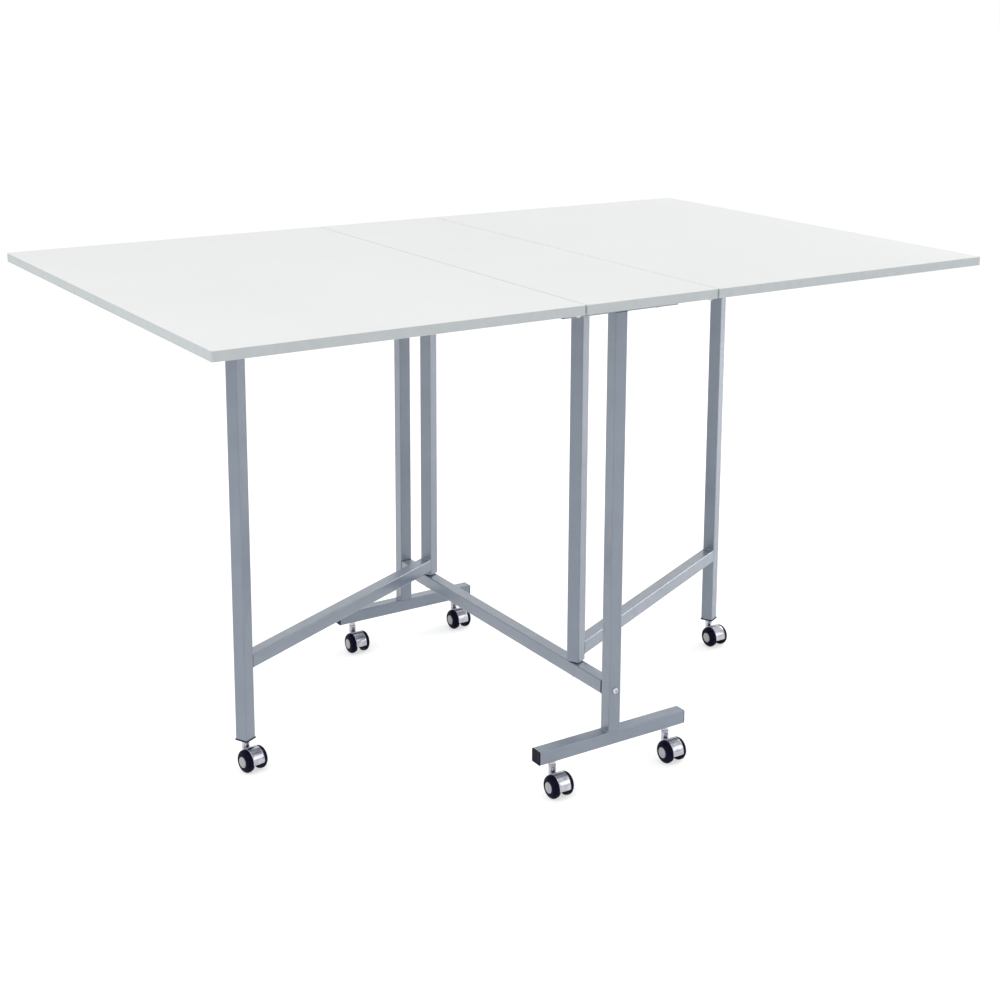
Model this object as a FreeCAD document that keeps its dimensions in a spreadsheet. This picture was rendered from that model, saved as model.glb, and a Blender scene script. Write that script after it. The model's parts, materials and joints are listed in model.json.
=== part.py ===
"""Folding sewing cutting table on casters, in millimetres.

+Z is up, X runs along the table's long edge and Y across it. The origin is on the floor under the
middle of the table top. A narrow centre panel stands on two square-tube pedestals. A leaf is hinged
at each long edge of it, and a square-tube gate swings out to hold each leaf up.
"""
import FreeCAD, Part
import math
import os

import Sketcher

doc = FreeCAD.newDocument("CuttingTable")
Vector = FreeCAD.Vector

# --------------------------------------------------------------------------- driving sizes
SIZES = [
    # the board top
    ("table_length", 1490), ("table_depth", 925), ("table_height", 855), ("panel_thickness", 16),
    ("centre_width", 260), ("seam_gap", 2), ("panel_corner", 4), ("panel_chamfer", 0.6),
    # square steel tube and the plastic plugs in its ends
    ("tube_side", 24), ("tube_wall", 1.2), ("tube_corner", 2),
    ("plug_flange", 1.5), ("plug_depth", 15), ("plug_clearance", 0.1),
    # pedestals
    ("foot_bar_length", 303), ("top_bar_length", 228), ("post_inset", 98.5),
    # stretchers, their end plugs and bolts
    ("stretcher_rise", 62), ("stretcher_plug_flange", 2), ("stretcher_plug_depth", 18),
    ("bolt_diameter", 6), ("bolt_head_diameter", 10.6), ("bolt_head_height", 3.2),
    ("bolt_hole_clearance", 0.2), ("bolt_socket_width", 4), ("bolt_socket_depth", 1.8),
    # gates and their pivots
    ("gate_reach", 575), ("pivot_inset", 106), ("lower_bar_rise", 8),
    ("washer_diameter", 20), ("washer_thickness", 2), ("washer_clearance", 0.2),
    ("pivot_play", 0.2), ("pivot_diameter", 8), ("pivot_clearance", 0.1), ("bush_length", 20),
    ("pin_head_diameter", 14), ("pin_head_height", 4), ("pin_end_gap", 1), ("access_clearance", 1),
    # plugs and caps of the gate legs, and the stops under the leaves
    ("leg_plug_flange", 2), ("leg_plug_overhang", 1), ("leg_plug_depth", 20), ("cap_overhang", 0.3),
    ("leg_clearance", 0.5), ("stop_length", 40), ("stop_width", 14), ("stop_height", 12),
    ("stop_gap", 0.4), ("stop_chamfer", 2), ("stop_hole", 4.2), ("stop_hole_inset", 9),
    # under-leaf hinges
    ("hinge_length", 60), ("hinge_inset", 50.5), ("flap_width", 26), ("flap_thickness", 1.5),
    ("knuckle_diameter", 7), ("knuckle_drop", 0.4), ("knuckle_length", 20), ("knuckle_gap", 0.4),
    ("hinge_pin_diameter", 3.4), ("hinge_pin_clearance", 0.1), ("flap_hole", 4.2),
    ("flap_hole_inset", 9), ("flap_hole_spacing", 36),
    # screws through the top bars into the centre panel
    ("screw_diameter", 4), ("screw_head_diameter", 9), ("screw_head_height", 2.6),
    ("screw_grip", 10), ("screw_spacing", 160), ("screw_hole_clearance", 0.2),
    # casters
    ("wheel_diameter", 40), ("wheel_width", 13.4), ("wheel_gap", 1), ("drum_step", 1),
    ("shoulder_width", 5.6), ("shoulder_radius", 8), ("hub_diameter", 22), ("hub_rise", 0.6),
    ("hub_wall", 2.5), ("axle_diameter", 5), ("axle_clearance", 0.1), ("axle_end_gap", 0.5),
    ("caster_trail", 20), ("web_thickness", 14), ("axle_boss_diameter", 16),
    ("fender_gap", 0.6), ("fender_thickness", 1.6), ("fender_reach", 4.25), ("rim_gap", 0.4),
    ("fender_floor", 17), ("fender_tail", 2), ("fender_chamfer", 0.4), ("boss_inset", 0.5),
    ("boss_floor", 15),
    ("boss_rise", 10), ("boss_chamfer", 0.6), ("swivel_gap", 0.5), ("stem_diameter", 8),
    ("stem_clearance", 0.1), ("stem_depth", 30), ("stem_end_gap", 0.5), ("stem_grip", 14),
    ("neck_diameter", 10.5), ("neck_length", 8.5), ("foot_caster_inset", 33.5),
    ("left_leg_caster_turn", 10),
]
sheet = doc.addObject("Spreadsheet::Sheet", "Sizes")
for row, (alias, number) in enumerate(SIZES, start=1):
    sheet.set(f"A{row}", alias)
    sheet.set(f"B{row}", str(number))
    sheet.setAlias(f"B{row}", alias)
doc.recompute()

# ------------------------------------------------- heights and places worked out from the sizes
UNDERSIDE = "(Sizes.table_height - Sizes.panel_thickness)"
SEAM = "(Sizes.centre_width / 2 + Sizes.seam_gap / 2)"
HALF_TUBE = "(Sizes.tube_side / 2)"
INNER_SIDE = "(Sizes.tube_side - 2 * Sizes.tube_wall)"
PLUG_SIDE = f"({INNER_SIDE} - 2 * Sizes.plug_clearance)"
POST_Y = "(Sizes.table_depth / 2 - Sizes.post_inset)"
PIVOT_Y = f"({POST_Y} - Sizes.pivot_inset)"
WHEEL_RADIUS = "(Sizes.wheel_diameter / 2)"
BOSS_TOP = "(Sizes.wheel_diameter + Sizes.boss_rise)"
LEG_FOOT = f"({BOSS_TOP} + Sizes.swivel_gap)"
FOOT_BAR_BOTTOM = f"({LEG_FOOT} + Sizes.neck_length)"
FOOT_BAR_TOP = f"({FOOT_BAR_BOTTOM} + Sizes.tube_side)"
TOP_BAR_BOTTOM = f"({UNDERSIDE} - Sizes.tube_side)"
STRETCHER_BOTTOM = f"({FOOT_BAR_TOP} + Sizes.stretcher_rise)"
STRETCHER_TOP = f"({STRETCHER_BOTTOM} + Sizes.tube_side)"
PIVOT_STACK = "(Sizes.washer_thickness + Sizes.pivot_play)"
PIVOT_BOTTOM = f"({STRETCHER_TOP} + {PIVOT_STACK})"
PIVOT_TOP = f"({TOP_BAR_BOTTOM} - {PIVOT_STACK})"
LEG_BOTTOM = f"({LEG_FOOT} + Sizes.leg_plug_flange)"
LEG_CAP_TOP = f"({UNDERSIDE} - Sizes.leg_clearance)"
LEG_TOP = f"({LEG_CAP_TOP} - Sizes.leg_plug_flange)"
HINGE_Z = f"({UNDERSIDE} - Sizes.knuckle_diameter / 2 - Sizes.knuckle_drop)"
LEAF_WIDTH = "((Sizes.table_length - Sizes.centre_width) / 2 - Sizes.seam_gap)"
FOOT_CASTER_X = ("(Sizes.foot_bar_length / 2 + Sizes.plug_flange"
                 " - Sizes.foot_caster_inset)")
# an open gate's leg stands on the table's middle line, so its pivot sets the gate's angle
LEG_X = f"sqrt(Sizes.gate_reach^2 - {PIVOT_Y}^2)"
GATE_ANGLE = f"acos({PIVOT_Y} / Sizes.gate_reach)"
# a gate's pieces share one placement, turned from +X to the open gate's direction
GATES = {
    "left": {"y": PIVOT_Y, "turn": f"270deg - {GATE_ANGLE}"},
    "right": {"y": f"-{PIVOT_Y}", "turn": f"90deg - {GATE_ANGLE}"},
}
SIDES = {"left": -1, "right": 1}
nodes = {}


# --------------------------------------------------------------------------- modelling helpers
def number(expression):
    """The present value of an expression in the sheet's aliases."""
    result = sheet.evalExpression(expression)
    return float(getattr(result, "Value", result))


def keep(node):
    nodes[node.Label] = node
    return node


def new_body(label, x="0", y="0", z="0", turn=None):
    """A body placed by expressions, turned about the vertical by the angle turn, in degrees."""
    body = doc.addObject("PartDesign::Body", label)
    body.Label = label
    if turn is not None:
        rotation = FreeCAD.Rotation(Vector(0, 0, 1), number(turn))
        body.Placement = FreeCAD.Placement(Vector(), rotation)
        body.setExpression("Placement.Rotation.Angle", turn)
    for axis, place in zip("xyz", (x, y, z)):
        body.setExpression(f"Placement.Base.{axis}", place)
    return body


def new_sketch(body, plane, across="0", up="0", out="0"):
    """A sketch on one of the body's origin planes, moved within it and out along its normal."""
    sketch = body.newObject("Sketcher::SketchObject", f"{body.Label}_sketch")
    support = [o for o in body.Origin.OriginFeatures if o.Role == f"{plane}_Plane"][0]
    sketch.AttachmentSupport = [(support, "")]
    sketch.MapMode = "FlatFace"
    for axis, place in zip("xyz", (across, up, out)):
        if place != "0":
            sketch.setExpression(f"AttachmentOffset.Base.{axis}", place)
    return sketch


def pin_point(sketch, curve, end, x, y):
    """Dimensions one point of a curve from the sketch's origin."""
    for kind, place in (("DistanceX", x), ("DistanceY", y)):
        index = sketch.addConstraint(Sketcher.Constraint(kind, -1, 1, curve, end, number(place)))
        sketch.setExpression(f"Constraints[{index}]", place)


def size_curve(sketch, kind, curve, size):
    index = sketch.addConstraint(Sketcher.Constraint(kind, curve, number(size)))
    sketch.setExpression(f"Constraints[{index}]", size)


def outline(sketch, corners, arcs=None):
    """A closed outline through corners given as pairs of expressions.

    arcs maps a side's number to its radius and to the side of travel that its centre is on,
    1 for left and -1 for right.
    """
    arcs = arcs or {}
    points = [Vector(number(x), number(y), 0) for x, y in corners]
    sides = []
    for side, start in enumerate(points):
        finish = points[(side + 1) % len(points)]
        if side not in arcs:
            curve = sketch.addGeometry(Part.LineSegment(start, finish), False)
            sides.append((curve, 1, 2))
            continue
        radius, hand = number(arcs[side][0]), arcs[side][1]
        chord = finish - start
        normal = Vector(-chord.y, chord.x, 0).normalize() * hand
        centre = (start + finish) / 2 + normal * math.sqrt(radius**2 - (chord.Length / 2) ** 2)
        first, last = (start, finish) if hand > 0 else (finish, start)
        angles = [math.atan2(p.y - centre.y, p.x - centre.x) for p in (first, last)]
        circle = Part.Circle(centre, Vector(0, 0, 1), radius)
        curve = sketch.addGeometry(Part.ArcOfCircle(circle, *angles), False)
        sides.append((curve, 1, 2) if hand > 0 else (curve, 2, 1))
    for side, (curve, start_end, finish_end) in enumerate(sides):
        following, following_start, _ = sides[(side + 1) % len(sides)]
        sketch.addConstraint(
            Sketcher.Constraint("Coincident", curve, finish_end, following, following_start))
        pin_point(sketch, curve, start_end, *corners[side])
        if side in arcs:
            size_curve(sketch, "Radius", curve, arcs[side][0])


def rectangle(sketch, left, right, low, high):
    outline(sketch, [(left, low), (right, low), (right, high), (left, high)])


def rounded_rectangle(sketch, width, depth, radius, x="0", y="0"):
    """A rectangle with round corners about the point x, y."""
    far_x, far_y = f"({width}) / 2", f"({depth}) / 2"
    near_x, near_y = f"({far_x} - {radius})", f"({far_y} - {radius})"
    steps = [("-", near_x, "-", far_y), ("+", near_x, "-", far_y),
             ("+", far_x, "-", near_y), ("+", far_x, "+", near_y),
             ("+", near_x, "+", far_y), ("-", near_x, "+", far_y),
             ("-", far_x, "+", near_y), ("-", far_x, "-", near_y)]
    corners = [(f"{x} {sx} {dx}", f"{y} {sy} {dy}") for sx, dx, sy, dy in steps]
    outline(sketch, corners, {side: (radius, 1) for side in (1, 3, 5, 7)})


def square(sketch, side, x="0", y="0"):
    rectangle(sketch, f"{x} - {side} / 2", f"{x} + {side} / 2", f"{y} - {side} / 2",
              f"{y} + {side} / 2")


def circle(sketch, diameter, x="0", y="0"):
    start = Part.Circle(Vector(number(x), number(y), 0), Vector(0, 0, 1), number(diameter) / 2)
    curve = sketch.addGeometry(start, False)
    size_curve(sketch, "Diameter", curve, diameter)
    pin_point(sketch, curve, 3, x, y)


def add(body, kind, sketch, length=None, side="One side", reverse=False):
    """A Pad or Pocket of the sketch, as long as length or right through the body."""
    feature = body.newObject(f"PartDesign::{kind}", f"{body.Label}_{kind.lower()}")
    feature.Profile = sketch
    feature.SideType = side
    feature.Reversed = reverse
    if length is None:
        feature.Type = "ThroughAll"
    else:
        feature.setExpression("Length", length)
    doc.recompute()
    return feature


def soften(body, kind, size, wanted):
    """A Fillet or Chamfer on the edges of the body's present shape that wanted accepts."""
    base = body.Tip
    names = [f"Edge{i}" for i, edge in enumerate(base.Shape.Edges, start=1) if wanted(edge)]
    feature = body.newObject(f"PartDesign::{kind}", f"{body.Label}_{kind.lower()}")
    feature.Base = (base, names)
    feature.setExpression("Radius" if kind == "Fillet" else "Size", size)
    doc.recompute()
    return feature


def drill(body, plane, diameter, holes, length=None, side="Symmetric", out="0", reverse=False):
    """Round holes at places on one of the body's planes, through it or as deep as length."""
    sketch = new_sketch(body, plane, out=out)
    for x, y in holes:
        circle(sketch, diameter, x, y)
    return add(body, "Pocket", sketch, length, side, reverse)


def square_tube(body, plane, length, side="Symmetric", across="0", up="0", out="0"):
    """A hollow square tube with round corners, padded from the given plane."""
    sketch = new_sketch(body, plane, out=out)
    rounded_rectangle(sketch, "Sizes.tube_side", "Sizes.tube_side", "Sizes.tube_corner", across, up)
    square(sketch, INNER_SIDE, across, up)
    add(body, "Pad", sketch, length, side)
    return body


def plug(body, plane, flange, flange_side, insert, x="0", y="0", out="0", outward=True):
    """A square plastic plug: a flange on the tube's end and an insert inside the tube."""
    face = new_sketch(body, plane, out=out)
    rounded_rectangle(face, flange_side, flange_side, "Sizes.tube_corner", x, y)
    add(body, "Pad", face, flange, reverse=not outward)
    stub = new_sketch(body, plane, out=out)
    square(stub, PLUG_SIDE, x, y)
    add(body, "Pad", stub, insert, reverse=outward)
    return body


def mirrored(source, normal):
    copy = doc.addObject("Part::Mirroring", f"{source.Label}_mirrored")
    copy.Source = source
    copy.Normal = normal
    return copy


def four_corners(label, source):
    """The piece and its mirror images across both middle planes, as one node."""
    across = mirrored(source, Vector(1, 0, 0))
    return group(label, [source, across, mirrored(source, Vector(0, 1, 0)),
                         mirrored(across, Vector(0, 1, 0))])


def front_and_rear(sources):
    return sources + [mirrored(source, Vector(0, 1, 0)) for source in sources]


def group(label, members):
    """Like pieces kept together in one node, each still a solid of its own."""
    compound = doc.addObject("Part::Compound", label)
    compound.Label = label
    compound.Links = members
    return keep(compound)


# --------------------------------------------------------------------------- the board top
def board(label, width, x):
    """A faced particle board with round upright corners and lightly eased edges."""
    body = keep(new_body(label, x=x, z=UNDERSIDE))
    face = new_sketch(body, "XY")
    rounded_rectangle(face, width, "Sizes.table_depth", "Sizes.panel_corner")
    add(body, "Pad", face, "Sizes.panel_thickness")
    soften(body, "Chamfer", "Sizes.panel_chamfer",
           lambda edge: abs(edge.BoundBox.ZMax - edge.BoundBox.ZMin) < 0.01)
    return body


centre = board("centre_panel", "Sizes.centre_width", "0")
SCREW_X = "(Sizes.screw_spacing / 2)"
screw_places = [(sx + SCREW_X, sy + POST_Y) for sx in ("", "-") for sy in ("", "-")]
drill(centre, "XY", "Sizes.screw_diameter", screw_places, "Sizes.screw_grip", "One side",
      reverse=True)
for name, sign in SIDES.items():
    board(f"{name}_leaf", LEAF_WIDTH, f"{sign} * ({SEAM} + Sizes.seam_gap / 2 + {LEAF_WIDTH} / 2)")


# --------------------------------------------------------------------------- pedestals
BOLT_HOLE = "(Sizes.bolt_diameter + 2 * Sizes.bolt_hole_clearance)"
SCREW_HOLE = "(Sizes.screw_diameter + 2 * Sizes.screw_hole_clearance)"
FOOT_BAR_MIDDLE = f"({FOOT_BAR_BOTTOM} + {HALF_TUBE})"
TOP_BAR_MIDDLE = f"({TOP_BAR_BOTTOM} + {HALF_TUBE})"
STRETCHER_MIDDLE = f"({STRETCHER_BOTTOM} + {HALF_TUBE})"


def pedestal(name, y):
    """Foot bar, post and top bar of one end, welded flush."""
    foot = keep(new_body(f"{name}_foot_bar", y=y))
    square_tube(foot, "YZ", "Sizes.foot_bar_length", up=FOOT_BAR_MIDDLE)
    drill(foot, "XY", "Sizes.stem_diameter", [(FOOT_CASTER_X, "0"), (f"-{FOOT_CASTER_X}", "0")],
          "Sizes.tube_side", "One side", out=FOOT_BAR_MIDDLE)

    post = keep(new_body(f"{name}_post", y=y))
    square_tube(post, "XY", f"{TOP_BAR_BOTTOM} - {FOOT_BAR_TOP}", "One side", out=FOOT_BAR_TOP)
    drill(post, "XZ", BOLT_HOLE, [("0", STRETCHER_MIDDLE)])

    top = keep(new_body(f"{name}_top_bar", y=y))
    square_tube(top, "YZ", "Sizes.top_bar_length", up=TOP_BAR_MIDDLE)
    drill(top, "XY", SCREW_HOLE, [(SCREW_X, "0"), (f"-{SCREW_X}", "0")])
    drill(top, "XZ", BOLT_HOLE, [("0", TOP_BAR_MIDDLE)])


pedestal("front", f"-{POST_Y}")
pedestal("rear", POST_Y)


def square_end_plugs():
    """Flush black plugs in the ends of the foot bars and top bars."""
    plugs = []
    for bar, length, height in (("foot", "Sizes.foot_bar_length", FOOT_BAR_MIDDLE),
                                ("top", "Sizes.top_bar_length", TOP_BAR_MIDDLE)):
        body = new_body(f"{bar}_bar_plug", x=f"{length} / 2", y=POST_Y, z=height)
        plug(body, "YZ", "Sizes.plug_flange", "Sizes.tube_side", "Sizes.plug_depth")
        across = mirrored(body, Vector(1, 0, 0))
        plugs += front_and_rear([body, across])
    group("square_end_plugs", plugs)


square_end_plugs()


def panel_screw():
    """A pan-head screw up through the top bar into the centre panel, at each corner."""
    body = new_body("panel_screw", x=SCREW_X, y=POST_Y, z=TOP_BAR_BOTTOM)
    head = new_sketch(body, "XY")
    circle(head, "Sizes.screw_head_diameter")
    add(body, "Pad", head, "Sizes.screw_head_height", reverse=True)
    soften(body, "Chamfer", "Sizes.screw_head_height / 2",
           lambda edge: edge.BoundBox.ZMax < -number("Sizes.screw_head_height / 2"))
    shank = new_sketch(body, "XY")
    circle(shank, "Sizes.screw_diameter")
    add(body, "Pad", shank, "Sizes.tube_side + Sizes.screw_grip")
    four_corners("panel_screws", body)


panel_screw()

# --------------------------------------------------------------------------- stretchers
STRETCHER_END = f"({POST_Y} - {HALF_TUBE})"
STRETCHER_LENGTH = f"2 * ({STRETCHER_END} - Sizes.stretcher_plug_flange)"
STRETCHERS = (("lower", STRETCHER_MIDDLE), ("upper", TOP_BAR_MIDDLE))
PIVOTS = [("0", PIVOT_Y), ("0", f"-{PIVOT_Y}")]


def stretchers():
    """The two tubes between the pedestals, drilled for the gates' pivot pins."""
    for name, height in STRETCHERS:
        body = keep(new_body(f"{name}_stretcher", z=height))
        square_tube(body, "XZ", STRETCHER_LENGTH)
        drill(body, "XY", "Sizes.pivot_diameter", PIVOTS)
        if name == "upper":
            access = "(Sizes.pin_head_diameter + 2 * Sizes.access_clearance)"
            drill(body, "XY", access, PIVOTS, "Sizes.tube_side", "One side", reverse=True)


def stretcher_end_plugs():
    """Dark plugs with a nut bore, clamped between the stretchers' ends and the pedestals."""
    plugs = []
    for name, height in STRETCHERS:
        body = new_body(f"{name}_stretcher_plug", y=f"-({STRETCHER_END} - Sizes.stretcher_plug_flange)",
                        z=height)
        plug(body, "XZ", "Sizes.stretcher_plug_flange", "Sizes.tube_side",
             "Sizes.stretcher_plug_depth")
        drill(body, "XZ", "Sizes.bolt_diameter", [("0", "0")])
        plugs.append(body)
    group("stretcher_end_plugs", front_and_rear(plugs))


def stretcher_bolts():
    """Button-head bolts through the pedestals into the stretchers' end plugs."""
    bolts = []
    for name, height in STRETCHERS:
        body = new_body(f"{name}_stretcher_bolt", y=f"-({POST_Y} + {HALF_TUBE})", z=height)
        head = new_sketch(body, "XZ")
        circle(head, "Sizes.bolt_head_diameter")
        add(body, "Pad", head, "Sizes.bolt_head_height")
        soften(body, "Chamfer", "Sizes.bolt_head_height / 2",
               lambda edge: edge.BoundBox.YMax < -number("Sizes.bolt_head_height / 2"))
        shank = new_sketch(body, "XZ")
        circle(shank, "Sizes.bolt_diameter")
        add(body, "Pad", shank, "Sizes.tube_side + Sizes.stretcher_plug_depth", reverse=True)
        socket = new_sketch(body, "XZ", out="Sizes.bolt_head_height")
        corner = "Sizes.bolt_socket_width / sqrt(3)"
        turns = [f"{60 * step} * 1deg" for step in range(6)]
        outline(socket, [(f"{corner} * cos({turn})", f"{corner} * sin({turn})") for turn in turns])
        add(body, "Pocket", socket, "Sizes.bolt_socket_depth")
        bolts.append(body)
    group("stretcher_bolts", front_and_rear(bolts))


stretchers()
stretcher_end_plugs()
stretcher_bolts()


# --------------------------------------------------------------------------- gate pivots
def pivot_pins():
    """Headed pins: the lower ones point up through the stretcher, the upper ones down from it."""
    reach = "Sizes.bush_length - Sizes.pin_end_gap"
    upper_seat = f"{TOP_BAR_BOTTOM} + Sizes.tube_wall"
    for name, seat, length, down in (
            ("lower", STRETCHER_BOTTOM, f"Sizes.tube_side + {PIVOT_STACK} + {reach}", False),
            ("upper", upper_seat, f"Sizes.tube_wall + {PIVOT_STACK} + {reach}", True)):
        body = new_body(f"{name}_pivot_pin", y=PIVOT_Y, z=seat)
        head = new_sketch(body, "XY")
        circle(head, "Sizes.pin_head_diameter")
        add(body, "Pad", head, "Sizes.pin_head_height", reverse=not down)
        shank = new_sketch(body, "XY")
        circle(shank, "Sizes.pivot_diameter")
        add(body, "Pad", shank, length, reverse=down)
        group(f"{name}_pivot_pins", front_and_rear([body]))


def pivot_washers():
    """Dark nylon washers between the stretchers and the ends of the pivot tubes."""
    washers = []
    for name, seat, down in (("lower", STRETCHER_TOP, False), ("upper", TOP_BAR_BOTTOM, True)):
        body = new_body(f"{name}_pivot_washer", y=PIVOT_Y, z=seat)
        ring = new_sketch(body, "XY")
        circle(ring, "Sizes.washer_diameter")
        circle(ring, "Sizes.pivot_diameter + 2 * Sizes.washer_clearance")
        add(body, "Pad", ring, "Sizes.washer_thickness", reverse=down)
        washers.append(body)
    group("pivot_washers", front_and_rear(washers))


pivot_pins()
pivot_washers()


# --------------------------------------------------------------------------- gates
def gate(name):
    """One swinging gate: pivot tube, leg and two bars, welded, with its plastic fittings."""
    where = {"y": GATES[name]["y"], "turn": GATES[name]["turn"]}
    pivot = keep(new_body(f"{name}_gate_pivot_tube", **where))
    square_tube(pivot, "XY", f"{PIVOT_TOP} - {PIVOT_BOTTOM}", "One side", out=PIVOT_BOTTOM)

    leg = keep(new_body(f"{name}_gate_leg", **where))
    square_tube(leg, "XY", f"{LEG_TOP} - {LEG_BOTTOM}", "One side", across="Sizes.gate_reach",
                out=LEG_BOTTOM)

    for level, height in (
            ("lower", f"({PIVOT_BOTTOM} + Sizes.lower_bar_rise + {HALF_TUBE})"),
            ("upper", f"({PIVOT_TOP} - {HALF_TUBE})")):
        bar = keep(new_body(f"{name}_gate_{level}_bar", **where))
        square_tube(bar, "YZ", "Sizes.gate_reach - Sizes.tube_side", up=height,
                    out="Sizes.gate_reach / 2")

    bushes = []
    for level, start in (("lower", PIVOT_BOTTOM), ("upper", f"{PIVOT_TOP} - Sizes.bush_length")):
        bush = new_body(f"{name}_gate_{level}_bush", **where)
        block = new_sketch(bush, "XY", out=start)
        square(block, PLUG_SIDE)
        circle(block, "Sizes.pivot_diameter + 2 * Sizes.pivot_clearance")
        add(bush, "Pad", block, "Sizes.bush_length")
        bushes.append(bush)
    group(f"{name}_gate_bushes", bushes)


def leg_end_plugs(name):
    """The flanged plug in the leg's foot, bored for the caster's stem, and the cap on its top."""
    where = {"y": GATES[name]["y"], "turn": GATES[name]["turn"]}
    foot = keep(new_body(f"{name}_leg_foot_plug", **where))
    plug(foot, "XY", "Sizes.leg_plug_flange", "Sizes.tube_side + 2 * Sizes.leg_plug_overhang",
         "Sizes.leg_plug_depth", x="Sizes.gate_reach", out=LEG_BOTTOM, outward=False)
    drill(foot, "XY", "Sizes.stem_diameter", [("Sizes.gate_reach", "0")], out=LEG_BOTTOM)
    cap = keep(new_body(f"{name}_leg_cap", **where))
    plug(cap, "XY", "Sizes.leg_plug_flange", "Sizes.tube_side + 2 * Sizes.cap_overhang",
         "Sizes.plug_depth", x="Sizes.gate_reach", out=LEG_TOP)
    soften(cap, "Chamfer", "Sizes.leg_plug_flange / 2",
           lambda edge: edge.BoundBox.ZMin > number(LEG_CAP_TOP) - 0.01)


def leg_stop(name):
    """The block under the leaf that the open leg's cap comes up against."""
    body = keep(new_body(f"{name}_leg_stop", y=GATES[name]["y"], turn=GATES[name]["turn"]))
    face = f"-({HALF_TUBE} + Sizes.cap_overhang + Sizes.stop_gap)"
    left, right = (f"Sizes.gate_reach {sign} Sizes.stop_length / 2" for sign in "-+")
    block = new_sketch(body, "XY", out=UNDERSIDE)
    rectangle(block, left, right, f"{face} - Sizes.stop_width", face)
    add(body, "Pad", block, "Sizes.stop_height", reverse=True)
    low = number(UNDERSIDE) - number("Sizes.stop_height")
    soften(body, "Chamfer", "Sizes.stop_chamfer", lambda edge: edge.BoundBox.ZMax < low + 0.01)
    hole_y = f"{face} - Sizes.stop_width / 2"
    places = [(f"{left} + Sizes.stop_hole_inset", hole_y), (f"{right} - Sizes.stop_hole_inset", hole_y)]
    drill(body, "XY", "Sizes.stop_hole", places, "Sizes.stop_height", "One side", out=UNDERSIDE)


for name in GATES:
    gate(name)
    leg_end_plugs(name)
    leg_stop(name)

# --------------------------------------------------------------------------- under-leaf hinges
HINGE_ROWS = ("-1", "0", "1")
FLAP_TOP = "(Sizes.knuckle_diameter / 2 + Sizes.knuckle_drop)"
KNUCKLE_ROOM = "(Sizes.knuckle_diameter / 2 + Sizes.knuckle_gap)"


def hinge_place(sign, row):
    """Hinge frame: its axis along Y, its own +X towards the leaf."""
    turn = "0" if sign > 0 else "180"
    place = f"{row} * (Sizes.table_depth / 2 - Sizes.hinge_inset)"
    return {"x": f"{sign} * {SEAM}", "y": place, "z": HINGE_Z, "turn": turn}


def flap(label, where, hand, bore, cut_rows, knuckle_length):
    """One flap with its knuckles. hand is 1 on the leaf and -1 on the centre panel."""
    body = new_body(label, **where)
    near, far = "Sizes.seam_gap / 2", "Sizes.flap_width"
    left, right = (near, far) if hand > 0 else (f"-{far}", f"-{near}")
    half = "Sizes.hinge_length / 2"
    plate = new_sketch(body, "XY", out=FLAP_TOP)
    rectangle(plate, left, right, f"-{half}", half)
    add(body, "Pad", plate, "Sizes.flap_thickness", reverse=True)
    roll = new_sketch(body, "XZ")
    circle(roll, "Sizes.knuckle_diameter")
    circle(roll, bore)
    add(body, "Pad", roll, knuckle_length, "Symmetric")
    notch = new_sketch(body, "XY")
    for low, high in cut_rows:
        rectangle(notch, f"-{KNUCKLE_ROOM}", KNUCKLE_ROOM, low, high)
    add(body, "Pocket", notch, side="Symmetric")
    hole_x = f"{hand} * (Sizes.flap_width - Sizes.flap_hole_inset)"
    places = [(hole_x, f"{end} * Sizes.flap_hole_spacing / 2") for end in ("-1", "1")]
    drill(body, "XY", "Sizes.flap_hole", places)
    return body


def hinges():
    """Three hinges at each seam: the centre panel's flap holds the outer knuckles."""
    middle = "(Sizes.knuckle_length / 2)"
    room = f"({middle} + Sizes.knuckle_gap / 2)"
    end = "(Sizes.hinge_length / 2 + Sizes.knuckle_gap)"
    fixed_flaps, pins = [], []
    for name, sign in SIDES.items():
        leaf_flaps = []
        for row in HINGE_ROWS:
            where = hinge_place(sign, row)
            tag = f"{name}_{HINGE_ROWS.index(row) + 1}"
            fixed_flaps.append(flap(f"centre_flap_{tag}", where, -1, "Sizes.hinge_pin_diameter",
                                    [(f"-{room}", room)], "Sizes.hinge_length"))
            bore = "(Sizes.hinge_pin_diameter + 2 * Sizes.hinge_pin_clearance)"
            leaf_flaps.append(flap(f"leaf_flap_{tag}", where, 1, bore,
                                   [(f"-{end}", f"-{middle}"), (middle, end)],
                                   "Sizes.knuckle_length"))
            pin = new_body(f"hinge_pin_{tag}", **where)
            rod = new_sketch(pin, "XZ")
            circle(rod, "Sizes.hinge_pin_diameter")
            add(pin, "Pad", rod, "Sizes.hinge_length", "Symmetric")
            pins.append(pin)
        group(f"{name}_leaf_hinge_flaps", leaf_flaps)
    group("centre_hinge_flaps", fixed_flaps)
    group("hinge_pins", pins)


hinges()

# --------------------------------------------------------------------------- casters
HALF_WEB = "(Sizes.web_thickness / 2)"
WHEEL_INNER = f"({HALF_WEB} + Sizes.wheel_gap)"
DRUM_RADIUS = f"({WHEEL_RADIUS} - Sizes.drum_step)"
FENDER_INNER = f"({DRUM_RADIUS} + Sizes.fender_gap)"
FENDER_MIDDLE = f"({FENDER_INNER} + Sizes.fender_thickness / 2)"
FENDER_OUTER = f"({FENDER_INNER} + Sizes.fender_thickness)"
FENDER_HALF = f"({HALF_WEB} + Sizes.fender_reach)"
AXLE_Y = "(-Sizes.caster_trail)"
AXLE_BORE = "(Sizes.axle_diameter + 2 * Sizes.axle_clearance)"
AXLE_HALF = (f"({WHEEL_INNER} + Sizes.wheel_width - Sizes.hub_wall"
             " - Sizes.axle_end_gap)")
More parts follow.
